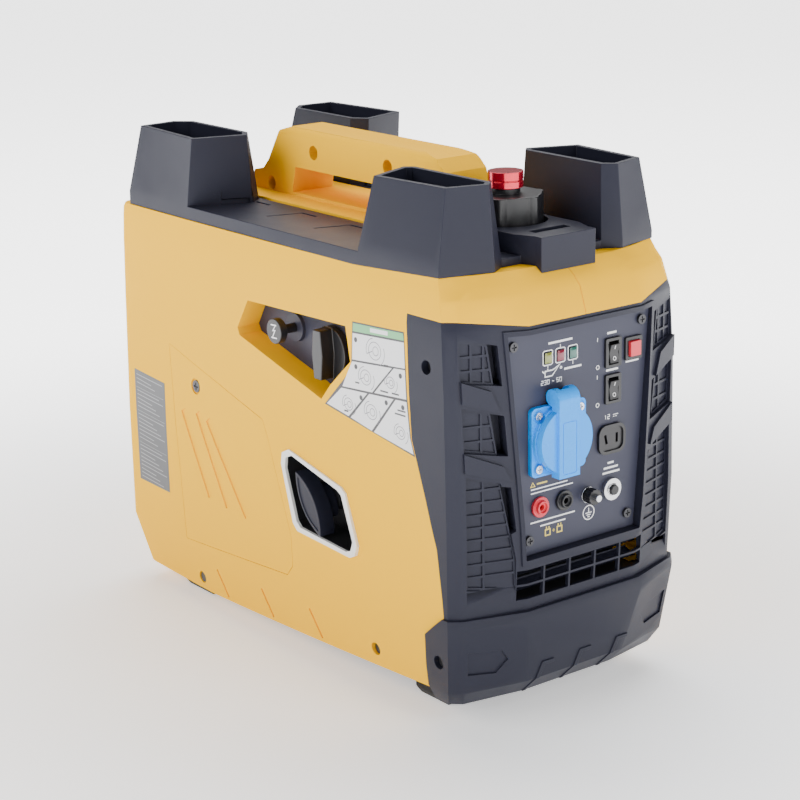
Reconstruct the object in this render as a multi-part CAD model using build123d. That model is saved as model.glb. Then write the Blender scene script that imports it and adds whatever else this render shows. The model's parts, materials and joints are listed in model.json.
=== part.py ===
from build123d import *
import os
from math import cos, hypot, pi, radians, sin

# Portable inverter generator. Millimetres, +Z up, +X towards the control panel,
# -Y towards the recoil starter. The origin is on the floor under the middle of the footprint.

os.makedirs("parts", exist_ok=True)

# ---- Driving dimensions ----------------------------------------------------------------------
WALL = 3.0                 # moulded wall of the casing, bezel and bumper
GAP = 0.3                  # clearance between pieces that move past each other
FIT = 0.05                 # radial clearance of shafts and pins in their holes
BASE_Z = 14.0              # lowest edge of the yellow casing
BUMPER_TOP_Z = 87.0        # where the bumper's ledge meets the bezel
BEZEL_TOP_Z = 293.0        # upper edge of the bezel at the front
BEZEL_CORNER_Z = 299.0     # upper edge of the bezel at its corners
SHOULDER_Z = 327.0         # highest edge of the yellow casing, under the front posts
BAND_Z = 322.0             # underside of the tray band from the rear to the front posts
TRAY_TOP_Z = 332.5         # flat top of the tray
RIM_Z = 386.0              # open rims of the four posts
CORNER_R = 11.0            # rounding of the two rear vertical corners
FRONT_X = 225.5            # flat front of the bezel
PANEL_X = 218.0            # front plane of the recessed control panel
PANEL_THICK = 2.5
RECESS_Y = -89.0           # floor of the control recess in the left side
POCKET_Y = -84.0           # floor of the starter pocket
RIM_Y = -111.0             # front of the starter's rim, proud of the side
CRANK_X, CRANK_Z = 66.0, 126.0   # crankshaft axis, along Y
CAP_X = 140.5              # axis of the fuel filler
SOCKET_Y, SOCKET_Z = -21.6, 207.6
FAR_X = 260.0              # beyond the front of everything


# ---- Helpers ---------------------------------------------------------------------------------
def save(shape, name):
    """Write one named piece."""
    export_step(shape, f"parts/{name}.step")


def both(shape):
    """The shape and its mirror image on the other side of the machine."""
    return shape + mirror(shape, about=Plane.XZ)


def closed(points):
    """A straight-sided face through plan points."""
    return make_face(Polyline(*points, close=True))


def side_prism(points, y0, y1):
    """Extrude an outline given as (x, z) from y0 to y1."""
    face = make_face(Polyline(*[(x, 0, z) for x, z in points], close=True))
    return Pos(0, y0, 0) * extrude(face, amount=y1 - y0, dir=(0, 1, 0))


def front_prism(points, x0, x1):
    """Extrude an outline given as (y, z) from x0 to x1."""
    face = make_face(Polyline(*[(0, y, z) for y, z in points], close=True))
    return Pos(x0, 0, 0) * extrude(face, amount=x1 - x0, dir=(1, 0, 0))


def box(x0, x1, y0, y1, z0, z1):
    """A box between two corners."""
    return Pos((x0 + x1) / 2, (y0 + y1) / 2, (z0 + z1) / 2) * Box(x1 - x0, y1 - y0, z1 - z0)


def rod_x(radius, x0, x1, y, z):
    """A round bar along X."""
    return Pos((x0 + x1) / 2, y, z) * Rot(0, 90, 0) * Cylinder(radius, x1 - x0)


def rod_y(radius, y0, y1, x, z):
    """A round bar along Y."""
    return Pos(x, (y0 + y1) / 2, z) * Rot(90, 0, 0) * Cylinder(radius, y1 - y0)


def rod_z(radius, z0, z1, x, y):
    """A round bar along Z."""
    return Pos(x, y, (z0 + z1) / 2) * Cylinder(radius, z1 - z0)


def rounded_front(y, z, width, height, radius, x0, x1):
    """A rounded rectangle facing the front, from x0 to x1."""
    face = RectangleRounded(height, width, radius)
    solid = extrude(face, amount=x1 - x0)
    return Pos(x0, y, z) * Rot(0, 90, 0) * solid


def bar(p, q, width, y0, y1):
    """A straight bar on the side face from p to q, both (x, z)."""
    dx, dz = q[0] - p[0], q[1] - p[1]
    length = hypot(dx, dz)
    nx, nz = -dz / length * width / 2, dx / length * width / 2
    corners = [(p[0] + nx, p[1] + nz), (q[0] + nx, q[1] + nz), (q[0] - nx, q[1] - nz), (p[0] - nx, p[1] - nz)]
    return side_prism(corners, y0, y1)


def grow(points, amount):
    """Push a convex outline's corners away from its middle."""
    cx = sum(p[0] for p in points) / len(points)
    cz = sum(p[1] for p in points) / len(points)
    out = []
    for x, z in points:
        d = hypot(x - cx, z - cz)
        out.append((x + (x - cx) / d * amount, z + (z - cz) / d * amount))
    return out


# ---- Casing envelope -------------------------------------------------------------------------
def plan_section(z, rear, front, flat, shoulder, corner, middle, rear_half, inset):
    """Plan face at height z: flat rear, rounded rear corners, bowed sides and a faceted front."""
    p1 = (front - inset, flat - 0.4 * inset)
    p2 = (shoulder[0] - 0.85 * inset, shoulder[1] - 0.6 * inset)
    p3 = (corner[0] - 0.4 * inset, corner[1] - inset)
    bow = (-10.0, middle - inset)
    p4 = (rear + CORNER_R, rear_half - inset)
    p5 = (rear + inset, rear_half - CORNER_R)
    k = (1 - cos(pi / 4)) * (CORNER_R - inset)
    mid = (p5[0] + k, p4[1] - k)

    def low(p):
        return (p[0], -p[1])
    edges = [
        Line(low(p1), p1), Line(p1, p2), Line(p2, p3), ThreePointArc(p3, bow, p4),
        ThreePointArc(p4, mid, p5), Line(p5, low(p5)), ThreePointArc(low(p5), low(mid), low(p4)),
        ThreePointArc(low(p4), low(bow), low(p3)), Line(low(p3), low(p2)), Line(low(p2), low(p1)),
    ]
    return Pos(0, 0, z) * make_face(edges)


# height, rear x, front x, half width of the flat front, shoulder corner, side corner,
# half width at mid length, half width at the rear
ENVELOPE = [
    (BASE_Z, -217.0, 206.0, 44.0, (197.0, 90.0), (188.0, 98.0), 103.0, 99.0),
    (54.0, -232.5, 220.0, 50.0, (207.0, 98.0), (200.0, 105.0), 108.0, 104.5),
    (150.0, -231.0, FRONT_X, 52.0, (209.5, 100.0), (203.0, 107.5), 109.5, 105.5),
    (244.0, -228.5, FRONT_X, 52.0, (208.5, 101.0), (202.0, 107.5), 109.3, 105.0),
    (BEZEL_TOP_Z, -227.5, FRONT_X, 52.0, (206.5, 99.0), (198.5, 106.0), 107.5, 104.2),
    (312.0, -227.0, 219.0, 50.0, (202.5, 92.0), (193.5, 103.0), 105.5, 103.5),
    (319.0, -226.5, 212.0, 48.0, (199.5, 83.0), (189.5, 100.3), 104.2, 103.0),
    (SHOULDER_Z, -220.0, 200.5, 45.5, (195.5, 73.0), (185.5, 98.2), 103.2, 102.3),
]


def envelope(inset):
    """The closed outer form of casing and bezel together, shrunk by inset."""
    rows = [list(r) for r in ENVELOPE]
    rows[0][0] += inset
    rows[-1][0] -= inset
    return loft([plan_section(*row, inset) for row in rows], ruled=True)


def rising_sill(lift):
    """The space under the sill, which rises from the rear towards the bumper."""
    profile = [(-110, 0), (-110, BASE_Z + lift), (176, 27 + lift), (FAR_X, 27 + lift), (FAR_X, 0)]
    return side_prism(profile, -130, 130)


# The tray band's underside is level and rises under the front posts.
BAND_EDGE = [(-FAR_X, BAND_Z), (95, BAND_Z), (187, 326.4), (FAR_X, 326.4)]
above_band = side_prism(BAND_EDGE + [(FAR_X, 420), (-FAR_X, 420)], -130, 130)
OUTER = envelope(0.0) - rising_sill(0.0) - above_band
SKIN = OUTER - (envelope(WALL) - rising_sill(WALL))

BEZEL_SIDE = [(161, BEZEL_CORNER_Z), (167, 211), (181, 171), (192, 137), (196, 101), (197, BUMPER_TOP_Z)]
BEZEL_TOP = [(FAR_X, BEZEL_TOP_Z), (FRONT_X, BEZEL_TOP_Z), (205, BEZEL_CORNER_Z)]
BUMPER_SIDE = [(197, BUMPER_TOP_Z), (177, 70), (175, 46), (176, 0)]
bezel_zone = side_prism(BEZEL_SIDE + [(FAR_X, BUMPER_TOP_Z)] + BEZEL_TOP, -130, 130)
bumper_zone = side_prism(BUMPER_SIDE + [(FAR_X, 0), (FAR_X, BUMPER_TOP_Z)], -130, 130)

# Outlines on the left side, as (x, z).
CONTROL_OPENING = [(-32.5, 274), (92, 277.5), (98, 252.5), (73, 230), (62, 217.5), (-44, 245), (-47, 250.5)]
STARTER_OUTLINE = [(10.5, 165), (19, 169.2), (85, 156), (90, 152.5), (103, 115), (100, 107), (94, 104.2),
                   (27.5, 106.9), (22, 112), (8.8, 156)]
SERVICE_OUTLINE = [(-151.5, 217.5), (-16.5, 184.5), (-9.5, 170.5), (16, 99.5), (16, 74.5), (8.5, 65.5),
                   (-139.5, 54.5)]
SERVICE_SCREW = (-112.4, 189.7)
SERVICE_LIP = 7.0
SCREW_HOLES = [(-123, 24.5), (115, 38)]
BEZEL_SCREW, BUMPER_SCREW = (183, 265.5), (190, 52)
EXHAUST_Y, EXHAUST_Z = 45.0, 150.0


def sill_grooves():
    """Three slanted grooves above the sill of the left side."""
    cut = Part()
    for i in range(3):
        x = -97 + 65.5 * i
        z = 39 + 3.3 * i
        cut += bar((x, z), (x + 12.5, z - 21), 2.2, -130, -60)
    return cut - envelope(1.5)


top_opening = box(-165, 178, -78, 78, 300, 340)
bottom_opening = box(-190, 172, -84, 84, 0, 40)
parting_groove = box(-FAR_X, FAR_X, -GAP, GAP, 0, 400) - envelope(0.8)
casing = SKIN - bezel_zone - bumper_zone - top_opening - bottom_opening
casing -= both(sill_grooves()) + parting_groove
for sx, sz in SCREW_HOLES:
    casing += both(rod_y(7.5, -112, -90, sx, sz)) & OUTER
    casing -= both(rod_y(5.0, -130, -99, sx, sz))

# The left shell has the control recess, the starter opening and the seat of the service cover.
left_shell = casing & box(-300, 300, -150, 0, 0, 400)
left_shell += side_prism(grow(CONTROL_OPENING, 2.4), -112, RECESS_Y) & OUTER
left_shell -= side_prism(CONTROL_OPENING, -130, 0)
left_shell -= side_prism(grow(STARTER_OUTLINE, -2.5), -130, 0)
left_shell -= side_prism(SERVICE_OUTLINE, -130, 0)
behind_cover = envelope(2.9) - envelope(5.5)
lip = behind_cover & side_prism(grow(SERVICE_OUTLINE, 3.0), -130, -60)
lip -= side_prism(grow(SERVICE_OUTLINE, -SERVICE_LIP), -130, 0)
screw_x, screw_z = SERVICE_SCREW
lip += behind_cover & box(screw_x - 8, screw_x + 8, -130, -60, screw_z - 8, screw_z + 18)
left_shell += lip - rod_y(2.4 + FIT, -130, -60, screw_x, screw_z)
save(left_shell, "left_shell")

# The right shell has louvres and the exhaust opening at the rear and a raised grille for warm air.
right_shell = casing & box(-300, 300, 0, 150, 0, 400)
exhaust_hole = rod_x(14.0, -260, -200, EXHAUST_Y, EXHAUST_Z)
exhaust_ring = rod_x(18.0, -260, -200, EXHAUST_Y, EXHAUST_Z)
for i in range(9):
    z = 96 + 13.5 * i
    right_shell -= box(-260, -215, 16, 82, z, z + 5) - exhaust_ring
right_shell -= exhaust_hole
GRILLE = [(-6, 78), (122, 78), (132, 178), (4, 178)]
right_shell += side_prism(GRILLE, 105, -RIM_Y) - envelope(2.0)
for i in range(8):
    x = 9 + 14 * i
    slot = bar((x, 88), (x + 8, 168), 6.0, 90, 130)
    right_shell -= slot
save(right_shell, "right_shell")

# ---- Front bezel -----------------------------------------------------------------------------
# The left cheek is the facet beside the flat front; s runs along it from the flat outwards.
CHEEK_ORIGIN = (FRONT_X, -52.0, 0.0)
CHEEK_ALONG = (-0.3219, -0.9468, 0.0)
CHEEK_OUT = (0.9468, -0.3219, 0.0)
CHEEK_PLANE = Plane(origin=CHEEK_ORIGIN, x_dir=CHEEK_ALONG, z_dir=CHEEK_OUT)
LATTICE_FLOOR = -4.0       # the cells between the lattice ribs
RIB_HALF, RIB_RISE = 0.9, 1.2
SLOT_FLOOR = -13.0         # the deep slot between each lattice and the panel frame


def cheek_prism(points, low, high):
    """Extrude an outline given as (s, z) on the left cheek from depth low to depth high."""
    face = CHEEK_PLANE.offset(low) * make_face(Polyline(*[(s, -z) for s, z in points], close=True))
    return extrude(face, amount=high - low, dir=CHEEK_OUT)


def cheek_grid(outline, columns, rows):
    """Thin ribs that divide a cheek window; columns and rows list their places."""
    s_low, s_high = min(p[0] for p in outline), max(p[0] for p in outline)
    z_low, z_high = min(p[1] for p in outline), max(p[1] for p in outline)
    ribs = Part()
    for z in rows:
        rib = [(s_low, z - RIB_HALF), (s_high, z - RIB_HALF), (s_high, z + RIB_HALF), (s_low, z + RIB_HALF)]
        ribs += cheek_prism(rib, LATTICE_FLOOR, LATTICE_FLOOR + RIB_RISE)
    for s in columns:
        rib = [(s - RIB_HALF, z_low), (s + RIB_HALF, z_low), (s + RIB_HALF, z_high), (s - RIB_HALF, z_high)]
        ribs += cheek_prism(rib, LATTICE_FLOOR, LATTICE_FLOOR + RIB_RISE)
    border = cheek_prism(outline, LATTICE_FLOOR, LATTICE_FLOOR + RIB_RISE)
    border -= cheek_prism(grow(outline, -2.2), LATTICE_FLOOR - 1, LATTICE_FLOOR + RIB_RISE + 1)
    return (ribs + border) & cheek_prism(outline, LATTICE_FLOOR, 6)


def cheek_point(s, z, depth):
    """The space point at (s, z) on the cheek and at a depth from it."""
    return tuple(o + s * a + depth * n for o, a, n in zip((*CHEEK_ORIGIN[:2], z), CHEEK_ALONG, CHEEK_OUT))


RECESS = [(-67, 287), (67, 287), (54, 125), (-54, 125)]
WINDOWS = [
    ([(50.5, 287), (29.5, 283), (25, 254), (49.5, 257)], [32, 41], [265, 275]),
    ([(49, 240.5), (27.5, 234.5), (22.5, 204), (47.5, 208.5)], [34], [215, 225.5]),
    ([(46.5, 191.5), (21, 184), (9.5, 127), (9.5, 103), (46, 108.5)], [33],
     [117, 126, 135, 144, 153, 162, 171, 180]),
]
SLOTS = [
    [(29.5, 283), (22.5, 281.5), (19.5, 253), (25, 254)],
    [(27.5, 234.5), (18.2, 232), (15.5, 203), (22.5, 204)],
    [(21.6, 182), (13.4, 180.4), (9.6, 148), (14, 146)],
]
STRAPS = [
    [(49.5, 259), (28, 250.5), (21, 234.5), (49, 243.5)],
    [(48, 208.4), (19.3, 196.5), (13.5, 185.2), (47.5, 194.5)],
]
raised_frame = front_prism(grow(RECESS, 4.5), 213.0, FAR_X) & envelope(-1.5)
panel_space = front_prism(RECESS, 200, FAR_X)
bezel = (SKIN & bezel_zone) + raised_frame - panel_space
panel_seat = front_prism(grow(RECESS, 2.5), 211.5, PANEL_X - PANEL_THICK)
bezel += panel_seat - front_prism(grow(RECESS, -7), 200, 230)
for row_low, row_high in ((95.5, 105.6), (107.2, 117.5)):
    for col in range(5):
        y = -59.5 + 24.0 * col
        bezel -= box(210, 240, y, y + 22.4, row_low, row_high)
for (outline, columns, rows), slot in zip(WINDOWS, SLOTS):
    bezel += both(cheek_prism(grow(outline, 2), LATTICE_FLOOR - 2, LATTICE_FLOOR) - panel_space)
    bezel += both(cheek_prism(grow(slot, 1.5), SLOT_FLOOR - 1.5, -1) & OUTER - panel_space)
    bezel -= both(cheek_prism(slot, SLOT_FLOOR, 10) - panel_space)
    bezel -= both(cheek_prism(outline, LATTICE_FLOOR, 10))
    bezel += both(cheek_grid(outline, columns, rows) - panel_space)
sill_profile = [(107, LATTICE_FLOOR), (107, 3), (90.5, 3), (90.5, 0)]
sill = make_face(Polyline(*[cheek_point(9.5, z, depth) for z, depth in sill_profile], close=True))
bezel -= both(extrude(sill, amount=36.5, dir=CHEEK_ALONG))
for strap in STRAPS:
    bezel += both(cheek_prism(strap, -6, 2.0) - panel_space)
bezel += both(rod_y(7.5, -112, -92, *BEZEL_SCREW) & OUTER)
bezel -= both(rod_y(5.0, -130, -99, *BEZEL_SCREW))
save(bezel, "front_bezel")

# ---- Front bumper ----------------------------------------------------------------------------
BUMPER = [
    (18.0, -100.0, 206.0, 42.0, (197.5, 90.0), (190.5, 97.5), 99.0, 99.0),
    (30.0, -100.0, 216.5, 45.0, (204.0, 96.0), (197.5, 103.5), 104.5, 104.5),
    (80.0, -100.0, 227.0, 54.0, (210.8, 101.2), (204.0, 108.3), 109.3, 109.3),
    (BUMPER_TOP_Z, -100.0, 225.0, 53.0, (209.8, 100.2), (203.2, 107.8), 109.0, 109.0),
]
SIDE_PAD = [(-95, 62), (-70, 60), (-64, 52), (-72, 42), (-93, 44)]


def bumper_form(inset):
    """The bumper's filled outer form, shrunk by inset."""
    return loft([plan_section(*row, inset) for row in BUMPER], ruled=True)


bumper_outer = bumper_form(0.0)
bumper = (bumper_outer & bumper_zone) - (bumper_form(WALL) - box(0, 300, -150, 150, BUMPER_TOP_Z - 3, 100))
bumper -= box(0, 190, -84, 84, BUMPER_TOP_Z - 3.5, 100)
for y in (-34, 2, 38):
    tab = [(y - 9, 18), (y - 1, 43), (y + 10, 43), (y + 10, 40), (y + 2, 40), (y - 6, 18)]
    bumper += front_prism(tab, 150, 231) & bumper_form(-1.0) & box(196, 240, -60, 60, 10, 60)
bumper -= both(front_prism(SIDE_PAD, 150, FAR_X) - bumper_form(1.4))
bumper += both(rod_y(7.5, -112, -92, *BUMPER_SCREW) & bumper_outer)
bumper -= both(rod_y(5.0, -130, -99, *BUMPER_SCREW))
save(bumper, "front_bumper")

# ---- Top tray with four hollow posts and the filler guard ------------------------------------
REAR_BASE = [(-210, 102), (-120, 103.2), (-99, 56), (-108, 44), (-203, 44), (-217, 62)]
REAR_RIM = [(-200, 94), (-113, 101), (-99.5, 59), (-112, 50), (-190, 50), (-202.5, 62)]
FRONT_BASE = [(102, 103.2), (187.5, 98.7), (198.5, 59), (190, 46), (102, 47), (91, 58)]
FRONT_RIM = [(112, 95), (183.5, 89), (193, 59), (185, 50.5), (103, 51), (96.5, 57)]
TRAY_HALF = [(190, 46), (198.5, 59), (187.5, 98.7), (102, 103.2), (-120, 103.2), (-210, 102), (-217, 62)]
POST_WALL = 4.2
GUARD_TOP_Z = 347.0
GUARD_LOW_Z = 321.5
TRAY_LOW_Z = 318.0                      # below the band's underside, before it is cut to it
GUARD_HOLE_R = 30.0
GUARD_HALF = [(106, 31), (184, 31), (200, 25), (207.5, 25)]
HANDLE_BED = (-152.0, 105.0, 41.0)      # rear x, front x, half width of the handle's opening
CHEVRON_STEP = 62.0


def plan_face(points, z):
    """A plan outline as a face at height z."""
    return Pos(0, 0, z) * closed(points)


def inward(points, amount):
    """Move every side of a convex plan outline inwards."""
    n = len(points)
    ahead = points[1:] + points[:1]
    area = sum(p[0] * q[1] - q[0] * p[1] for p, q in zip(points, ahead))
    side = 1 if area > 0 else -1
    lines = []
    for (x0, y0), (x1, y1) in zip(points, ahead):
        d = hypot(x1 - x0, y1 - y0)
        nx, ny = -(y1 - y0) / d * side, (x1 - x0) / d * side
        lines.append((nx, ny, nx * x0 + ny * y0 + amount))
    out = []
    for i in range(n):
        a, b = lines[i - 1], lines[i]
        det = a[0] * b[1] - b[0] * a[1]
        out.append(((a[2] * b[1] - b[2] * a[1]) / det, (a[0] * b[2] - b[0] * a[2]) / det))
    return out


def post(base, rim):
    """One tapered post, open at the top, and the space inside it."""
    solid = loft([plan_face(base, TRAY_TOP_Z), plan_face(rim, RIM_Z)], ruled=True)
    low, high = inward(base, POST_WALL + 1), inward(rim, POST_WALL)
    hollow = loft([plan_face(low, TRAY_TOP_Z + 3), plan_face(high, RIM_Z + 0.01)], ruled=True)
    return solid, hollow


tray_outline = closed(TRAY_HALF + [(x, -y) for x, y in reversed(TRAY_HALF)])
tray = Pos(0, 0, TRAY_LOW_Z) * extrude(tray_outline, amount=TRAY_TOP_Z - TRAY_LOW_Z) & above_band
bed_rear, bed_front, bed_half = HANDLE_BED
tray -= box(bed_rear, bed_front, -bed_half, bed_half, 300, 360)
guard = closed(GUARD_HALF + [(x, -y) for x, y in reversed(GUARD_HALF)])
guard_block = Pos(0, 0, GUARD_LOW_Z) * extrude(guard, amount=GUARD_TOP_Z - GUARD_LOW_Z)
tray += guard_block - OUTER - box(0, 195, -60, 60, 300, 326)
for base, rim in ((REAR_BASE, REAR_RIM), (FRONT_BASE, FRONT_RIM)):
    solid, hollow = post(base, rim)
    tray += both(solid)
    tray -= both(hollow)
tray -= rod_z(GUARD_HOLE_R, 300, 400, CAP_X, 0)
tray -= Pos(187.5, 0, 343) * Box(8.0, 33.0, 12.0)
for i in range(3):
    x = -109 + i * CHEVRON_STEP
    path = [(x, -79), (x + 9, -51), (x + 28, -51), (x + 28, -53.4), (x + 10.6, -53.4), (x + 2.4, -79)]
    tray -= both(Pos(0, 0, TRAY_TOP_Z - 1.2) * extrude(closed(path), amount=5))
save(tray, "top_tray")

# ---- Carrying handle, two halves split down the middle ---------------------------------------
HANDLE_HALF = 19.5
HANDLE_TOP_Z = 388.0
GRIP_LOW_Z = 357.0
HANDLE_SIDE = [(-150, 329), (-150, 348), (-137, 351), (-129, 359), (-113, 384), (-100, HANDLE_TOP_Z),
               (68, HANDLE_TOP_Z), (86, HANDLE_TOP_Z - 3), (96, 376), (104, 352), (104, 329)]
FINGER_GAP = [(-97, 336.5), (-92, GRIP_LOW_Z), (58, GRIP_LOW_Z), (66, 336.5)]
HANDLE_SCREWS = [(-126.0, 340.2), (-67.0, 371.0), (28.0, 372.0)]
handle = side_prism(HANDLE_SIDE, -HANDLE_HALF, HANDLE_HALF) - side_prism(FINGER_GAP, -60, 60)
top_edges = [e for e in handle.edges().filter_by(Axis.X) if e.center().Z > 380 and abs(e.center().Y) > 15]
handle = fillet(top_edges, 7.0)
handle += box(bed_rear + 0.4, bed_front - 0.4, 0.5 - bed_half, bed_half - 0.5, 328, 334)
for hx, hz in HANDLE_SCREWS:
    handle -= both(rod_y(5.6, -30, -HANDLE_HALF + 10, hx, hz))
    handle -= rod_y(1.9, -30, 30, hx, hz)
save(handle & box(-300, 300, -60, 0, 300, 420), "handle_left")
save(handle & box(-300, 300, 0, 60, 300, 420), "handle_right")
screws = []
for hx, hz in HANDLE_SCREWS:
    body = rod_y(4.0, -HANDLE_HALF + 7, -HANDLE_HALF + 10, hx, hz)
    body += rod_y(1.9, -HANDLE_HALF + 10, 12, hx, hz)
    body -= Pos(hx, -HANDLE_HALF + 7, hz) * (Box(4.4, 1.8, 1.2) + Box(1.2, 1.8, 4.4))
    screws.append(body)
save(Compound(children=screws), "handle_screws")

# ---- Fuel filler: cap with lobes and the red vent knob ---------------------------------------
CAP_LOW_Z, CAP_TOP_Z = 341.0, 366.0
NECK_TOP_Z = 370.0
KNOB_R = 12.7
cap = rod_z(26.0, CAP_LOW_Z, CAP_TOP_Z, CAP_X, 0)
for i in range(6):
    a = radians(60 * i + 10)
    cap += rod_z(6.0, CAP_LOW_Z, CAP_TOP_Z, CAP_X + 22.5 * cos(a), 22.5 * sin(a))
cap += rod_z(10.5, CAP_TOP_Z, NECK_TOP_Z, CAP_X, 0)
cap -= rod_z(24.0, CAP_LOW_Z - 1, CAP_TOP_Z - 5, CAP_X, 0)
cap -= rod_z(3.0 + FIT, CAP_TOP_Z - 8, NECK_TOP_Z + 2, CAP_X, 0)
save(cap, "fuel_cap")
knob = rod_z(KNOB_R, NECK_TOP_Z + GAP, NECK_TOP_Z + 11.8, CAP_X, 0)
groove = rod_z(KNOB_R + 1, NECK_TOP_Z + 5.0, NECK_TOP_Z + 5.8, CAP_X, 0)
knob -= groove - rod_z(KNOB_R - 0.6, NECK_TOP_Z, NECK_TOP_Z + 9, CAP_X, 0)
knob += rod_z(3.0, CAP_TOP_Z - 4.5, NECK_TOP_Z + GAP, CAP_X, 0)
save(knob, "vent_knob")

# ---- Control panel and what is on it ---------------------------------------------------------
SWITCH_Y = 31.6
ENGINE_SWITCH_Z, ECONOMY_SWITCH_Z = 259.0, 232.5
RESET_Y, RESET_Z = 51.0, 259.0
LENS_PLACES = [(-28.5, 265.3), (-17.0, 265.3), (-5.5, 265.3)]
DC_Y, DC_Z = 30.5, 195.8
BREAKER_Y, BREAKER_Z = 30.5, 158.3
EARTH_Y, EARTH_Z = 8.5, 158.5
RED_Y, BLACK_Y, JACK_Z = -36.5, -14.0, 159.5
PANEL_SCREWS = [(-60.5, 278.5), (58.5, 278.5), (46.5, 136.5), (-46.5, 136.5)]
panel_back = PANEL_X - PANEL_THICK
panel = front_prism(grow(RECESS, -0.5), panel_back, PANEL_X)
panel -= rod_x(18.5, 200, 230, SOCKET_Y, SOCKET_Z)
for z in (ENGINE_SWITCH_Z, ECONOMY_SWITCH_Z):
    panel -= box(200, 230, SWITCH_Y - 6.2, SWITCH_Y + 6.2, z - 9.4, z + 9.4)
panel -= box(200, 230, RESET_Y - 6.2, RESET_Y + 6.2, RESET_Z - 7.2, RESET_Z + 7.2)
panel -= box(200, 230, DC_Y - 11, DC_Y + 11, DC_Z - 9, DC_Z + 9)
for y, z in LENS_PLACES:
    panel -= box(200, 230, y - 3.4, y + 3.4, z - 4.0, z + 4.0)
for radius, y, z in ((4.6, BREAKER_Y, BREAKER_Z), (2.6, EARTH_Y, EARTH_Z),
                     (5.2, RED_Y, JACK_Z), (5.2, BLACK_Y, JACK_Z)):
    panel -= rod_x(radius, 200, 230, y, z)
for y, z in PANEL_SCREWS:
    panel -= rod_x(2.1, 200, 230, y, z)
for sy in (-19, 19):
    for sz in (-19, 19):
        panel -= rod_x(1.8, 200, 230, SOCKET_Y + sy, SOCKET_Z + sz)
save(panel, "control_panel")


def front_screw(y, z, seat_x, head_r, shank_r, length):
    """A cross-head screw standing on the plane seat_x."""
    body = rod_x(head_r, seat_x, seat_x + 2.2, y, z) + rod_x(shank_r, seat_x - length, seat_x, y, z)
    return body - Pos(seat_x + 2.2, y, z) * (Box(2.0, head_r * 1.2, 0.9) + Box(2.0, 0.9, head_r * 1.2))


panel_screws = [front_screw(y, z, PANEL_X, 3.6, 2.0, PANEL_THICK) for y, z in PANEL_SCREWS]
save(Compound(children=panel_screws), "panel_screws")

# Mains socket: square flange, round pot behind, sprung lid hinged along its upper edge.
FLANGE_X = PANEL_X + 4.0
HINGE_X, HINGE_Z = 225.2, 238.6
HOOD_BACK_R = 6.2                      # back of the lid's hood, about the hinge
HOOD_FRONT_R = 8.1                     # rounded front of the hood
STRAP_HALF = 9.5
KNUCKLE_HALF, KNUCKLE_R = 4.2, 2.6
PIN_R = 1.25
socket = rounded_front(SOCKET_Y, SOCKET_Z, 50.0, 50.0, 4.0, PANEL_X, FLANGE_X)
socket += rod_x(24.5, FLANGE_X, FLANGE_X + 3.0, SOCKET_Y, SOCKET_Z)
socket += rod_x(18.2, PANEL_X - 26, PANEL_X, SOCKET_Y, SOCKET_Z)
socket -= rod_x(16.6, PANEL_X - 15, 240, SOCKET_Y, SOCKET_Z)
for sy in (-9.5, 9.5):
    socket -= rod_x(2.5, PANEL_X - 23, PANEL_X, SOCKET_Y + sy, SOCKET_Z)
for sy in (-19, 19):
    for sz in (-19, 19):
        socket -= rod_x(1.9, PANEL_X - 1, FLANGE_X + 9, SOCKET_Y + sy, SOCKET_Z + sz)
        socket -= rod_x(4.6, FLANGE_X - 0.6, FLANGE_X + 9, SOCKET_Y + sy, SOCKET_Z + sz)
knuckle_low, knuckle_high = SOCKET_Y - KNUCKLE_HALF, SOCKET_Y + KNUCKLE_HALF
socket += box(PANEL_X, PANEL_X + 2.6, knuckle_low, knuckle_high, SOCKET_Z + 23, HINGE_Z + 1.5)
socket += box(PANEL_X, HINGE_X, knuckle_low, knuckle_high, HINGE_Z - 1.5, HINGE_Z + 1.5)
socket += rod_y(KNUCKLE_R, knuckle_low, knuckle_high, HINGE_X, HINGE_Z)
socket -= rod_y(PIN_R, SOCKET_Y - 20, SOCKET_Y + 20, HINGE_X, HINGE_Z)
save(socket, "socket_body")
lid_x = FLANGE_X + 3.3
lid = rod_x(23.5, lid_x, lid_x + 5.5, SOCKET_Y, SOCKET_Z)
strap_x = lid_x + 8.0
strap_low, strap_high = SOCKET_Y - STRAP_HALF, SOCKET_Y + STRAP_HALF
bend_z = SOCKET_Z + 29.1
lid += box(lid_x, strap_x, strap_low, strap_high, SOCKET_Z - 26, bend_z)
hood_front = rod_y(HOOD_FRONT_R, strap_low, strap_high, HINGE_X, bend_z)
lid += hood_front & box(HINGE_X, strap_x + 1, strap_low, strap_high, bend_z, HINGE_Z + 9)
hood_back = rod_y(HOOD_BACK_R, strap_low, strap_high, HINGE_X, HINGE_Z)
lid += hood_back & box(200, strap_x, strap_low, strap_high, 232, 250)
lid -= rod_x(17.5, lid_x - 1, lid_x + 2.0, SOCKET_Y, SOCKET_Z)
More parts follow.
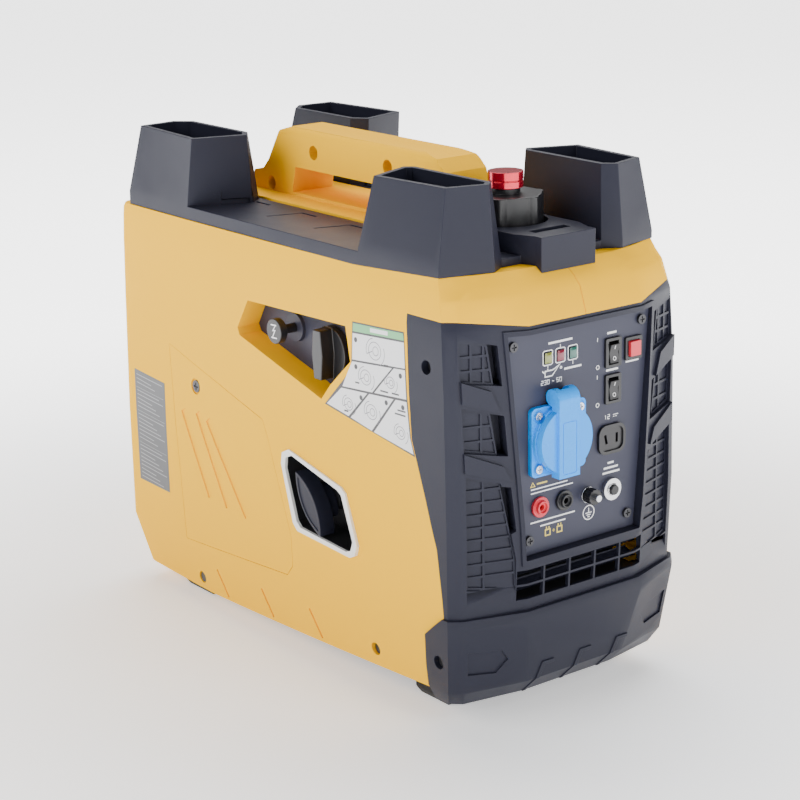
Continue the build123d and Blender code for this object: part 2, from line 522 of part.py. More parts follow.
# The fixed knuckle and its stem stay clear of the hood while the lid swings up.
stem_low, stem_high = knuckle_low - 0.4, knuckle_high + 0.4
lid -= rod_y(KNUCKLE_R + 0.4, stem_low, stem_high, HINGE_X, HINGE_Z)
lid -= box(200, HINGE_X + 0.1, stem_low, stem_high, 230, HINGE_Z)
lid -= box(200, HINGE_X + 2.7, stem_low, stem_high, HINGE_Z, 250)
lid -= rod_y(PIN_R + FIT, SOCKET_Y - 7.3, SOCKET_Y + 7.3, HINGE_X, HINGE_Z)
inset = rounded_front(SOCKET_Y, SOCKET_Z - 4.5, 13.0, 38.0, 2.0, strap_x - 0.4, strap_x + 1)
lid -= inset - rounded_front(SOCKET_Y, SOCKET_Z - 4.5, 11.6, 36.6, 1.5, strap_x - 1, strap_x + 1)
save(lid, "socket_lid")
save(rod_y(PIN_R, SOCKET_Y - 7.0, SOCKET_Y + 7.0, HINGE_X, HINGE_Z), "lid_pin")
save(Compound(children=[front_screw(SOCKET_Y + sy, SOCKET_Z + sz, FLANGE_X - 0.6, 3.2, 1.7, 4.0)
                        for sy in (-19, 19) for sz in (-19, 19)]), "socket_screws")


def switch_case(y, z, width, height):
    """Snap-in switch frame with an open window and a box behind the panel."""
    case = rounded_front(y, z, width, height, 1.2, PANEL_X, PANEL_X + 2.0)
    half = min(9.2, height / 2 - 1.5)
    case += box(PANEL_X - 14, PANEL_X, y - 6.0, y + 6.0, z - half, z + half)
    return case


for name, z in (("engine_switch", ENGINE_SWITCH_Z), ("economy_switch", ECONOMY_SWITCH_Z)):
    case = switch_case(SWITCH_Y, z, 15.0, 21.5)
    case -= box(PANEL_X - 10, PANEL_X + 5, SWITCH_Y - 4.6, SWITCH_Y + 4.6, z - 8.4, z + 8.4)
    save(case, f"{name}_case")
    # The rocker tips about an axis along Y; its face is a shallow vee.
    pivot_x = PANEL_X - 3.0
    outline = [(pivot_x - 3.5, z - 6.0), (pivot_x + 6.2, z - 7.4), (pivot_x + 5.0, z),
               (pivot_x + 7.0, z + 6.4), (pivot_x - 3.5, z + 6.0)]
    rocker = side_prism(outline, SWITCH_Y - 4.2, SWITCH_Y + 4.2)
    save(rocker, f"{name}_rocker")

reset_case = switch_case(RESET_Y, RESET_Z, 16.0, 17.0)
reset_case -= box(PANEL_X - 11, PANEL_X + 5, RESET_Y - 5.2, RESET_Y + 5.2, RESET_Z - 5.8, RESET_Z + 5.8)
save(reset_case, "reset_case")
save(rounded_front(RESET_Y, RESET_Z, 9.8, 11.0, 0.8, PANEL_X - 5, PANEL_X + 4.2), "reset_button")
lenses = [rounded_front(y, z, 6.6, 7.8, 1.0, PANEL_X - 4, PANEL_X + 0.8) for y, z in LENS_PLACES]
save(Compound(children=lenses), "indicator_lenses")

outlet = rounded_front(DC_Y, DC_Z, 25.5, 21.7, 7.0, PANEL_X, PANEL_X + 2.5)
outlet += box(PANEL_X - 18, PANEL_X, DC_Y - 10.8, DC_Y + 10.8, DC_Z - 8.8, DC_Z + 8.8)
outlet -= rounded_front(DC_Y, DC_Z, 21.0, 17.0, 5.0, PANEL_X + 1.2, PANEL_X + 5)
for side, lean in ((-5.2, 12), (5.2, 0)):
    blade = Box(17.0, 2.2, 7.0)
    outlet -= Pos(PANEL_X - 3.5, DC_Y + side, DC_Z) * Rot(lean, 0, 0) * blade
save(outlet, "dc_outlet")

breaker = rod_x(4.5, PANEL_X - 20, PANEL_X + 4, BREAKER_Y, BREAKER_Z)
breaker += rod_x(8.2, PANEL_X, PANEL_X + 3.4, BREAKER_Y, BREAKER_Z)
breaker -= rod_x(3.9, PANEL_X - 6, PANEL_X + 6, BREAKER_Y, BREAKER_Z)
save(breaker, "breaker_nut")
save(rod_x(3.6, PANEL_X - 2, PANEL_X + 6.0, BREAKER_Y, BREAKER_Z), "breaker_button")
for name, y in (("red_jack", RED_Y), ("black_jack", BLACK_Y)):
    jack = rod_x(7.4, PANEL_X, PANEL_X + 2.4, y, JACK_Z) + rod_x(5.0, PANEL_X - 22, PANEL_X + 5.0, y, JACK_Z)
    jack -= rod_x(3.6, PANEL_X + 3.2, PANEL_X + 8, y, JACK_Z)
    jack -= rod_x(2.0, PANEL_X - 16, PANEL_X + 8, y, JACK_Z)
    save(jack, name)
STUD_R = 2.5
stud = rod_x(STUD_R, PANEL_X - 12, PANEL_X + 13.0, EARTH_Y, EARTH_Z)
stud += rod_x(6.0, PANEL_X, PANEL_X + 1.5, EARTH_Y, EARTH_Z)
save(stud, "earth_stud")
wing = rod_x(5.8, PANEL_X + 3.0, PANEL_X + 9.0, EARTH_Y, EARTH_Z)
wing -= rod_x(STUD_R + FIT, 200, 260, EARTH_Y, EARTH_Z)
for i in range(12):
    a = radians(30 * i)
    wing -= rod_x(0.6, PANEL_X + 2, PANEL_X + 10, EARTH_Y + 5.9 * cos(a), EARTH_Z + 5.9 * sin(a))
save(wing, "earth_nut")

# ---- Control recess in the left side ---------------------------------------------------------
CHOKE_X, CHOKE_Z = 5.0, 257.4
DIAL_X, DIAL_Z = 53.0, 248.0
plate = side_prism(grow(CONTROL_OPENING, 2.0), RECESS_Y, RECESS_Y + 2.5)
plate += rod_y(10.8, RECESS_Y - 3.0, RECESS_Y, CHOKE_X, CHOKE_Z)
plate -= rod_y(3.5 + FIT, -130, -60, CHOKE_X, CHOKE_Z)
plate -= rod_y(4.0 + FIT, -130, -60, DIAL_X, DIAL_Z)
save(plate, "control_plate")
choke = rod_y(9.5, -110.5, -104.5, CHOKE_X, CHOKE_Z) + rod_y(7.0, -104.5, -103.0, CHOKE_X, CHOKE_Z)
choke += rod_y(3.5, -103.0, -81.0, CHOKE_X, CHOKE_Z)
save(choke, "choke_knob")
DIAL_R = 19.5
dial = rod_y(DIAL_R, RECESS_Y - 6.0, RECESS_Y - GAP, DIAL_X, DIAL_Z)
dial += rod_y(4.0, RECESS_Y - GAP, -80.0, DIAL_X, DIAL_Z)
wing_view = [(-4.5, -18.5), (4.5, -18.5), (6.5, 0), (4.5, 18.5), (-4.5, 18.5), (-6.5, 0)]
dial += side_prism([(DIAL_X + x, DIAL_Z + z) for x, z in wing_view], -106.0, RECESS_Y - 6.0)
save(dial, "fuel_dial")

# ---- Recoil starter --------------------------------------------------------------------------
GRIP_X, GRIP_Z = 44.2, 132.8
GRIP_TILT = -34.6
GRIP_LENGTH, GRIP_WIDTH = 53.0, 18.0
GRIP_THICK = 13.0
GRIP_BACK_Y = -99.0
ROPE_R = 2.3
SLEEVE_R = 10.0
LINER_Y = -108.6           # front of the dark liner behind the white rim
starter_rim = side_prism(STARTER_OUTLINE, RIM_Y, -106.0) - OUTER
starter_rim += side_prism(grow(STARTER_OUTLINE, -2.9), RIM_Y, LINER_Y)
starter_rim -= side_prism(grow(STARTER_OUTLINE, -2.9), LINER_Y, -90)
starter_rim -= side_prism(grow(STARTER_OUTLINE, -5.6), -120, -90)
save(starter_rim, "starter_bezel")
pocket = side_prism(grow(STARTER_OUTLINE, -2.9), LINER_Y, POCKET_Y)
pocket -= side_prism(grow(STARTER_OUTLINE, -5.6), -120, POCKET_Y)
pocket += side_prism(grow(STARTER_OUTLINE, -2.9), POCKET_Y, POCKET_Y + 2.5)
pocket += rod_y(SLEEVE_R, POCKET_Y - 6.0, POCKET_Y, GRIP_X, GRIP_Z)
pocket -= rod_y(ROPE_R + GAP, -130, -60, GRIP_X, GRIP_Z)
save(pocket, "starter_pocket")


def lens(length, width):
    """A pointed oval: the overlap of two equal circles."""
    lens_r = (length ** 2 + width ** 2) / 4 / width
    return (Pos(lens_r - width / 2, 0) * Circle(lens_r)) & (Pos(width / 2 - lens_r, 0) * Circle(lens_r))


grip = extrude(lens(GRIP_LENGTH, GRIP_WIDTH), amount=GRIP_THICK)
grip -= Pos(0, 0, GRIP_THICK - 0.8) * extrude(lens(GRIP_LENGTH - 9, GRIP_WIDTH - 4), amount=2)
grip += Pos(0, 0, -8.0) * extrude(Ellipse(7.0, 14.0), amount=8.0)
grip = Pos(GRIP_X, GRIP_BACK_Y, GRIP_Z) * Rot(0, GRIP_TILT, 0) * Rot(90, 0, 0) * grip
grip -= rod_y(ROPE_R, -104.0, -80.0, GRIP_X, GRIP_Z)
save(grip, "starter_grip")
save(rod_y(ROPE_R, -104.0, -67.0, GRIP_X, GRIP_Z), "starter_rope")
HOUSING_R = 61.0
PULLEY_R, DRUM_R = 26.0, 20.0
housing = rod_y(HOUSING_R, -74.0, -48.0, CRANK_X, CRANK_Z)
housing -= rod_y(HOUSING_R - 2.5, -71.5, -40.0, CRANK_X, CRANK_Z)
housing += rod_y(5.0, -71.5, -66.0, CRANK_X, CRANK_Z)
for i in range(10):
    a = radians(36 * i)
    housing -= rod_y(6.5, -80, -60, CRANK_X + 44 * cos(a), CRANK_Z + 44 * sin(a))
housing -= rod_y(5.0, -80.0, -60.0, GRIP_X, GRIP_Z)
save(housing, "recoil_housing")
pulley = rod_y(PULLEY_R, -65.7, -63.2, CRANK_X, CRANK_Z) + rod_y(DRUM_R, -63.2, -58.2, CRANK_X, CRANK_Z)
pulley += rod_y(PULLEY_R, -58.2, -55.7, CRANK_X, CRANK_Z)
save(pulley, "starter_pulley")

# ---- Service cover on the left side ----------------------------------------------------------
cover = (OUTER - envelope(2.6)) & side_prism(grow(SERVICE_OUTLINE, -0.5), -130, -60)
too_deep = envelope(1.2)
for (x0, z0), (x1, z1) in (((-133.5, 166), (-98, 101)), ((-111, 168.5), (-72, 99)), ((-96, 166), (-45, 98))):
    cover -= bar((x0, z0), (x1, z1), 7.0, -130, -60) - too_deep
cover -= rod_y(2.6, -130, -60, screw_x, screw_z)
cover -= rod_y(6.5, -130, -106.5, screw_x, screw_z)
save(cover, "service_cover")
screw = rod_y(5.0, -107.8, -106.5, screw_x, screw_z) + rod_y(2.4, -106.5, -94.0, screw_x, screw_z)
screw -= Pos(screw_x, -107.8, screw_z) * (Box(6.0, 1.6, 1.2) + Box(1.2, 1.6, 6.0))
save(screw, "service_screw")

# ---- Engine, generator and the rest of the inside --------------------------------------------
FOOT_PLACES = [(145, 58, 19, 19), (-155, 74, 21, 14)]     # x, y, half length, half width
tray_holes = both(rod_z(4.0, 0, 30, 145, -60)) + both(rod_z(4.0, 0, 30, -150, -74))
save(box(-189.6, 188.0, -83.6, 83.6, BASE_Z, BASE_Z + 3.0) - tray_holes, "base_tray")
feet = []
for fx, fy, half_x, half_y in FOOT_PLACES:
    for sy in (-fy, fy):
        face = [(fx - half_x, sy - half_y), (fx + half_x, sy - half_y), (fx + half_x, sy + half_y),
                (fx - half_x, sy + half_y)]
        sections = [plan_face(inward(face, 3.0), 0.0), plan_face(face, 5.0), plan_face(face, BASE_Z)]
        feet.append(loft(sections, ruled=True))
save(Compound(children=feet), "feet")
mounts = [rod_z(11.0, BASE_Z + 3.0, 55.0, CRANK_X + x, y) for x in (-32, 34) for y in (-10, 40)]
save(Compound(children=mounts), "engine_mounts")

BLOCK_REAR_X, BLOCK_FRONT_X = CRANK_X - 46, CRANK_X + 48
HEAD_X = BLOCK_REAR_X - 66
CYLINDER_Y, CYLINDER_Z = 15.0, 138.0
block = box(BLOCK_REAR_X, BLOCK_FRONT_X, -20, 50, 55, 176) - rod_y(12.0 + FIT, -60, 90, CRANK_X, CRANK_Z)
save(block, "engine_block")
cylinder = rod_x(30.0, HEAD_X, BLOCK_REAR_X, CYLINDER_Y, CYLINDER_Z)
for i in range(9):
    x = HEAD_X + 2 + i * 7
    cylinder += box(x, x + 2.4, CYLINDER_Y - 40, CYLINDER_Y + 40, CYLINDER_Z - 40, CYLINDER_Z + 40)
save(cylinder, "cylinder")
head = box(HEAD_X - 26, HEAD_X, CYLINDER_Y - 39, CYLINDER_Y + 39, CYLINDER_Z - 39, CYLINDER_Z + 39)
head -= rod_x(5.0, HEAD_X - 40, HEAD_X - 14, CYLINDER_Y, CYLINDER_Z)
for i in range(7):
    y = CYLINDER_Y - 33 + i * 11
    if abs(y - CYLINDER_Y) > 8:
        head -= box(HEAD_X - 27, HEAD_X - 14, y, y + 5, 100, 180)
save(head, "cylinder_head")
plug = rod_x(5.0, HEAD_X - 44, HEAD_X - 14, CYLINDER_Y, CYLINDER_Z)
plug += rod_x(9.0, HEAD_X - 38, HEAD_X - 26, CYLINDER_Y, CYLINDER_Z)
plug += rod_x(7.0, HEAD_X - 56, HEAD_X - 44, CYLINDER_Y, CYLINDER_Z)
save(plug, "spark_plug")
shaft = rod_y(12.0, -22, 52, CRANK_X, CRANK_Z) + rod_y(7.0, -46, -22, CRANK_X, CRANK_Z)
shaft += rod_y(8.0, 52, 82, CRANK_X, CRANK_Z)
save(shaft, "crankshaft")
FAN_R = 48.0
fan = rod_y(FAN_R, -38.0, -33.0, CRANK_X, CRANK_Z) + rod_y(15.0, -46.0, -33.0, CRANK_X, CRANK_Z)
for i in range(16):
    blade = box(20, FAN_R - 0.5, -46, -38, -1.1, 1.1)
    fan += Pos(CRANK_X, 0, CRANK_Z) * Rot(0, 22.5 * i, 0) * blade
fan -= rod_y(7.0, -60, -20, CRANK_X, CRANK_Z)
save(fan, "flywheel_fan")
rotor = rod_y(56.0, 56.0, 84.0, CRANK_X, CRANK_Z) - rod_y(50.0, 50.0, 80.5, CRANK_X, CRANK_Z)
rotor -= rod_y(8.0, 50, 90, CRANK_X, CRANK_Z)
for i in range(6):
    a = radians(60 * i)
    rotor -= rod_y(6.0, 75, 90, CRANK_X + 32 * cos(a), CRANK_Z + 32 * sin(a))
save(rotor, "generator_rotor")
stator = rod_y(30.0, 50.0, 78.0, CRANK_X, CRANK_Z) - rod_y(17.0, 40, 90, CRANK_X, CRANK_Z)
for i in range(12):
    tooth = box(28, 48.5, 56, 77, -4.2, 4.2)
    stator += Pos(CRANK_X, 0, CRANK_Z) * Rot(0, 30 * i, 0) * tooth
save(stator, "generator_stator")
coil_x = CRANK_X + FAN_R + 0.6
save(box(coil_x, coil_x + 16, -46, -26, 108, 148) + box(coil_x, coil_x + 2, -26, -20, 118, 138)
     + box(BLOCK_FRONT_X, coil_x + 2, -20, -10, 118, 138), "ignition_coil")
carb = box(-38, -2, 60, 84, 150, 182) + rod_y(13.0, 55, 60, -20, 165) + rod_z(12.0, 124, 150, -20, 72)
carb -= rod_y(8.0, 50, 90, -20, 165)
save(carb, "carburettor")
save(box(-130, -96, -90, -28, 70, 170) + rod_y(12.0, -28, -20, -112, 130), "air_filter")
muffler = box(-205, -132, -24, 86, 70, 190)
muffler = fillet(muffler.edges().filter_by(Axis.Y), 18.0)
muffler += rod_x(11.0, -132, HEAD_X - 26, 44, 118)
muffler -= rod_x(8.0, -150, -60, 44, 118)
muffler -= rod_x(11.0, -215, -196, EXHAUST_Y, EXHAUST_Z)
save(muffler, "muffler")
pipe = rod_x(11.0, -233.3, -196, EXHAUST_Y, EXHAUST_Z) - rod_x(9.0, -240, -198, EXHAUST_Y, EXHAUST_Z)
save(pipe, "exhaust_outlet")
inverter = box(150, 164, -78, 78, 100, 226)
for i in range(14):
    y = -76 + i * 11.4
    inverter += box(164, 184, y, y + 2.6, 100, 226)
save(inverter, "inverter_module")
tank = box(-108, 174, -70, 70, 238, 317)
tank = fillet(tank.edges().filter_by(Axis.Z), 16.0)
tank = fillet(tank.faces().sort_by(Axis.Z)[-1].edges() + tank.faces().sort_by(Axis.Z)[0].edges(), 6.0)
tank += rod_z(22.0, 310, 352, CAP_X, 0)
tank -= rod_z(19.0, 300, 356, CAP_X, 0)
save(tank, "fuel_tank")
casing_screws = []
for sx, sz in SCREW_HOLES + [BEZEL_SCREW, BUMPER_SCREW]:
    casing_screws.append(rod_y(4.4, -102.0, -99.0, sx, sz))
    casing_screws.append(rod_y(4.4, 99.0, 102.0, sx, sz))
save(Compound(children=casing_screws), "casing_screws")
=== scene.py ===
"""Portable inverter generator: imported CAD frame, finishes, printed marks, rope, floor, lights and camera."""
import json
from math import cos, pi, radians, sin

import bmesh
import bpy
import numpy as np
from mathutils import Matrix, Vector


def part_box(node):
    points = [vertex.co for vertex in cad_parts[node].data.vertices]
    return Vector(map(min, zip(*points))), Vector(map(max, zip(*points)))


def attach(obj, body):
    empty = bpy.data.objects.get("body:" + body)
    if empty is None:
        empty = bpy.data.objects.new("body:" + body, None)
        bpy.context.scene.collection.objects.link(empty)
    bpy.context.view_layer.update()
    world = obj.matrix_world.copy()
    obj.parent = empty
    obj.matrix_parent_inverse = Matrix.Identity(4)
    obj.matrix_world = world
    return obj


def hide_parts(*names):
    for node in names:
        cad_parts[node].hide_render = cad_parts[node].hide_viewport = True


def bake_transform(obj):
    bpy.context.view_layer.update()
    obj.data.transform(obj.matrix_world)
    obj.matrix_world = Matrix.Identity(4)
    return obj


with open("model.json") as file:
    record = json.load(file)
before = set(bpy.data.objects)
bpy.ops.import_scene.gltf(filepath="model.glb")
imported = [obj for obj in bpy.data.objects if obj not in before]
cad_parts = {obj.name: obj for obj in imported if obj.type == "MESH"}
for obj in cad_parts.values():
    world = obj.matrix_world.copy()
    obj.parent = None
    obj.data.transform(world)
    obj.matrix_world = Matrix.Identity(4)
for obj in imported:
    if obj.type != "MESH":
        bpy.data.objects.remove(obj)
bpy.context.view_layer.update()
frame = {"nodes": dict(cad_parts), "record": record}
MM = 0.001


# ---- Materials -------------------------------------------------------------------------------
def link_noise(nodes, links, coords, scale, detail):
    """A noise pattern on object coordinates."""
    noise = nodes.new("ShaderNodeTexNoise")
    noise.inputs["Scale"].default_value = scale
    noise.inputs["Detail"].default_value = detail
    links.new(coords.outputs["Object"], noise.inputs["Vector"])
    return noise


def finish_material(name, color, rough, metallic=0.0, grain=900.0, depth=0.06, variation=0.06, coat=0.0,
                    sheen=0.5):
    """A moulded or plated finish: slow colour variation, slow changes in gloss and a fine grain."""
    mat = bpy.data.materials.new(name)
    mat.use_nodes = True
    nodes, links = mat.node_tree.nodes, mat.node_tree.links
    shader = nodes["Principled BSDF"]
    shader.inputs["Metallic"].default_value = metallic
    shader.inputs["Specular IOR Level"].default_value = sheen
    shader.inputs["Coat Weight"].default_value = coat
    shader.inputs["Coat Roughness"].default_value = 0.12
    coords = nodes.new("ShaderNodeTexCoord")
    slow = link_noise(nodes, links, coords, 14.0, 3.0)
    mix = nodes.new("ShaderNodeMix")
    mix.data_type = "RGBA"
    mix.inputs["A"].default_value = [c * (1 - variation) for c in color] + [1.0]
    mix.inputs["B"].default_value = [min(1.0, c * (1 + variation)) for c in color] + [1.0]
    links.new(slow.outputs["Fac"], mix.inputs["Factor"])
    links.new(mix.outputs["Result"], shader.inputs["Base Color"])
    patches = link_noise(nodes, links, coords, 45.0, 4.0)
    spread = nodes.new("ShaderNodeMapRange")
    spread.inputs["To Min"].default_value = rough * 0.85
    spread.inputs["To Max"].default_value = min(1.0, rough * 1.15)
    links.new(patches.outputs["Fac"], spread.inputs["Value"])
    links.new(spread.outputs["Result"], shader.inputs["Roughness"])
    fine = link_noise(nodes, links, coords, grain, 2.0)
    bump = nodes.new("ShaderNodeBump")
    bump.inputs["Strength"].default_value = depth
    bump.inputs["Distance"].default_value = 0.0004
    links.new(fine.outputs["Fac"], bump.inputs["Height"])
    links.new(bump.outputs["Normal"], shader.inputs["Normal"])
    return mat


FINISHES = {
    "casing_yellow": finish_material(
        "casing_yellow", (1.0, 0.52, 0.0), 0.5, grain=1400.0, depth=0.05, variation=0.02, sheen=0.03),
    "charcoal_plastic": finish_material(
        "charcoal_plastic", (0.018, 0.019, 0.032), 0.42, grain=1500.0, depth=0.16, sheen=0.2),
    "panel_plastic": finish_material(
        "panel_plastic", (0.036, 0.038, 0.062), 0.45, grain=1800.0, depth=0.08, sheen=0.3),
    "black_plastic": finish_material("black_plastic", (0.012, 0.012, 0.014), 0.33, depth=0.05),
    "blue_plastic": finish_material(
        "blue_plastic", (0.0, 0.32, 1.0), 0.28, depth=0.03, variation=0.04, sheen=0.3),
    "white_plastic": finish_material("white_plastic", (0.80, 0.80, 0.78), 0.28, depth=0.03, variation=0.02),
    "red_plastic": finish_material("red_plastic", (0.70, 0.03, 0.05), 0.3, depth=0.03),
    "red_anodised": finish_material(
        "red_anodised", (0.62, 0.008, 0.03), 0.2, metallic=0.7, depth=0.02, coat=0.6),
    "lens_amber": finish_material("lens_amber", (0.22, 0.24, 0.05), 0.15, depth=0.02, coat=0.5),
    "lens_red": finish_material("lens_red", (0.20, 0.01, 0.03), 0.15, depth=0.02, coat=0.5),
    "lens_green": finish_material("lens_green", (0.02, 0.12, 0.09), 0.15, depth=0.02, coat=0.5),
    "zinc_steel": finish_material(
        "zinc_steel", (0.62, 0.62, 0.64), 0.24, metallic=1.0, grain=700.0, depth=0.05),
    "dark_steel": finish_material(
        "dark_steel", (0.06, 0.06, 0.065), 0.35, metallic=0.8, grain=700.0, depth=0.08),
    "cast_alloy": finish_material(
        "cast_alloy", (0.45, 0.45, 0.46), 0.55, metallic=0.9, grain=500.0, depth=0.3),
    "copper_brown": finish_material("copper_brown", (0.30, 0.12, 0.05), 0.4, metallic=0.4, depth=0.1),
    "soft_rubber": finish_material("soft_rubber", (0.015, 0.015, 0.016), 0.75, grain=900.0, depth=0.2),
    "rope_cord": finish_material("rope_cord", (0.05, 0.05, 0.052), 0.85, grain=2500.0, depth=0.4),
    "label_white": finish_material("label_white", (0.78, 0.78, 0.80), 0.35, depth=0.02, variation=0.01),
    "label_line": finish_material("label_line", (0.05, 0.05, 0.055), 0.45, depth=0.02),
    "label_sketch": finish_material("label_sketch", (0.16, 0.15, 0.18), 0.45, depth=0.02),
    "label_green": finish_material("label_green", (0.16, 0.48, 0.20), 0.35, depth=0.02, variation=0.02),
    "label_grey": finish_material("label_grey", (0.075, 0.078, 0.085), 0.4, depth=0.02),
    "label_pale": finish_material("label_pale", (0.30, 0.30, 0.31), 0.4, depth=0.02),
    "print_white": finish_material("print_white", (0.82, 0.82, 0.82), 0.45, depth=0.02, variation=0.01),
    "print_yellow": finish_material("print_yellow", (0.72, 0.56, 0.10), 0.45, depth=0.02),
}


# ---- Mesh helpers ----------------------------------------------------------------------------
def piece(name, points, faces, body, finish, smooth=False):
    """One object from whole arrays of points and faces, riding on a body."""
    mesh = bpy.data.meshes.new(name)
    mesh.from_pydata(np.asarray(points, float).tolist(), [], np.asarray(faces).tolist())
    mesh.polygons.foreach_set("use_smooth", np.full(len(mesh.polygons), smooth))
    mesh.materials.append(FINISHES[finish])
    mesh.update()
    obj = bpy.data.objects.new(name, mesh)
    bpy.context.scene.collection.objects.link(obj)
    if body:
        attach(obj, body)
    return obj


def grid_faces(rows, cols, wrap=False):
    """Quads of a rows by cols grid of points; wrap joins the last column to the first."""
    r = np.arange(rows - 1)[:, None]
    c = np.arange(cols if wrap else cols - 1)[None, :]
    d = (c + 1) % cols
    quads = np.stack([r * cols + c, r * cols + d, (r + 1) * cols + d, (r + 1) * cols + c], axis=-1)
    return quads.reshape(-1, 4)


def body_of(node):
    return next(b for b, members in frame["record"]["behaviour"]["bodies"].items() if node in members)


# ---- CAD nodes with softened edges -----------------------------------------------------------
def softened(node, finish, width, segments=2, sharp=28.0, clamp=True):
    """A merged copy of a CAD node with small rounded edges; it stands for the node."""
    source = frame["nodes"][node]
    mesh = source.data.copy()
    bm = bmesh.new()
    bm.from_mesh(mesh)
    bmesh.ops.remove_doubles(bm, verts=bm.verts, dist=4e-6)
    bmesh.ops.dissolve_limit(bm, angle_limit=radians(0.4), verts=bm.verts, edges=bm.edges)
    for face in bm.faces:
        face.smooth = True
    for edge in bm.edges:
        edge.smooth = edge.calc_face_angle(0.0) < radians(sharp)
    bm.to_mesh(mesh)
    bm.free()
    mesh.materials.clear()
    mesh.materials.append(FINISHES[finish])
    obj = bpy.data.objects.new(node + "_finished", mesh)
    bpy.context.scene.collection.objects.link(obj)
    if width > 0:
        bevel = obj.modifiers.new("soft_edges", "BEVEL")
        bevel.width = width * MM
        bevel.segments = segments
        bevel.limit_method = "ANGLE"
        bevel.angle_limit = radians(sharp)
        bevel.use_clamp_overlap = clamp
        bevel.harden_normals = True
    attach(obj, body_of(node))
    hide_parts(node)
    return obj


SOFT = {
    "left_shell": ("casing_yellow", 0.8), "right_shell": ("casing_yellow", 0.8),
    "service_cover": ("casing_yellow", 0.5),
    "handle_left": ("casing_yellow", 0.8), "handle_right": ("casing_yellow", 0.8),
    "front_bezel": ("charcoal_plastic", 0.4), "front_bumper": ("charcoal_plastic", 0.6),
    "top_tray": ("charcoal_plastic", 0.5), "base_tray": ("charcoal_plastic", 0.4),
    "control_panel": ("panel_plastic", 0.3), "control_plate": ("panel_plastic", 0.3),
    "starter_bezel": ("white_plastic", 0.6), "starter_pocket": ("black_plastic", 0.4),
    "starter_grip": ("charcoal_plastic", 0.35), "choke_knob": ("black_plastic", 0.6),
    "fuel_dial": ("black_plastic", 0.8),
    "fuel_cap": ("black_plastic", 0.8), "vent_knob": ("red_anodised", 0.3),
    "socket_body": ("blue_plastic", 0.5), "socket_lid": ("blue_plastic", 0.4),
    "red_jack": ("red_plastic", 0.4), "black_jack": ("black_plastic", 0.4),
    "engine_switch_case": ("black_plastic", 0.3), "economy_switch_case": ("black_plastic", 0.3),
    "engine_switch_rocker": ("black_plastic", 0.4), "economy_switch_rocker": ("black_plastic", 0.4),
    "reset_case": ("black_plastic", 0.3), "reset_button": ("red_plastic", 0.4),
    "dc_outlet": ("black_plastic", 0.4), "breaker_nut": ("zinc_steel", 0.4),
    "breaker_button": ("black_plastic", 0.4),
    "earth_stud": ("zinc_steel", 0.2), "earth_nut": ("black_plastic", 0.3),
    "feet": ("soft_rubber", 0.8), "exhaust_outlet": ("dark_steel", 0.4),
    "panel_screws": ("dark_steel", 0.2), "socket_screws": ("zinc_steel", 0.2),
    "casing_screws": ("dark_steel", 0.2),
    "handle_screws": ("dark_steel", 0.2), "service_screw": ("dark_steel", 0.2),
}
UNCLAMPED = {"top_tray"}
for node, (finish, width) in SOFT.items():
    softened(node, finish, width, clamp=node not in UNCLAMPED)
slot_of = {s["node"]: s["material_slot"] for s in frame["record"]["subparts"]}
for node, obj in frame["nodes"].items():
    obj.data.materials.clear()
    obj.data.materials.append(FINISHES.get(slot_of[node], FINISHES["black_plastic"]))


# ---- Prints on the left side -----------------------------------------------------------------
def skin_height(node, x, z, lift):
    """y of a CAD node's outer left skin over each (x, z), lift proud of it, in mm."""
    mesh = frame["nodes"][node].data
    mesh.calc_loop_triangles()
    co = np.zeros(len(mesh.vertices) * 3)
    mesh.vertices.foreach_get("co", co)
    co = co.reshape(-1, 3) * 1000
    tri = np.zeros(len(mesh.loop_triangles) * 3, int)
    mesh.loop_triangles.foreach_get("vertices", tri)
    a, b, c = (co[tri.reshape(-1, 3)[:, k]] for k in range(3))
    outer = (a[:, 1] + b[:, 1] + c[:, 1]) / 3 < -95
    a, b, c = a[outer], b[outer], c[outer]
    det = (b[:, 0] - a[:, 0]) * (c[:, 2] - a[:, 2]) - (c[:, 0] - a[:, 0]) * (b[:, 2] - a[:, 2])
    good = np.abs(det) > 1e-6
    a, b, c, det = a[good], b[good], c[good], det[good]
    px, pz = np.ravel(x)[:, None] - a[:, 0], np.ravel(z)[:, None] - a[:, 2]
    u = (px * (c[:, 2] - a[:, 2]) - (c[:, 0] - a[:, 0]) * pz) / det
    v = ((b[:, 0] - a[:, 0]) * pz - px * (b[:, 2] - a[:, 2])) / det
    inside = (u >= -1e-4) & (v >= -1e-4) & (u + v <= 1.0001)
    y = np.where(inside, a[:, 1] + u * (b[:, 1] - a[:, 1]) + v * (c[:, 1] - a[:, 1]), np.inf)
    return y.min(axis=1).reshape(np.shape(x)) - lift


def side_patch(name, corners, finish, lift, node="left_shell", cells=14):
    """A thin print over four (x, z) corners: the corners blended over a grid, laid on the skin."""
    s, t = np.meshgrid(np.linspace(0, 1, cells), np.linspace(0, 1, cells))
    p = np.array(corners, float)
    flat = [(1 - s) * (1 - t) * p[0, k] + s * (1 - t) * p[1, k] + s * t * p[2, k] + (1 - s) * t * p[3, k]
            for k in (0, 1)]
    y = skin_height(node, flat[0], flat[1], lift)
    points = np.stack([flat[0], y, flat[1]], axis=-1).reshape(-1, 3) * MM
    return piece(name, points, grid_faces(cells, cells), body_of(node), finish, smooth=True)


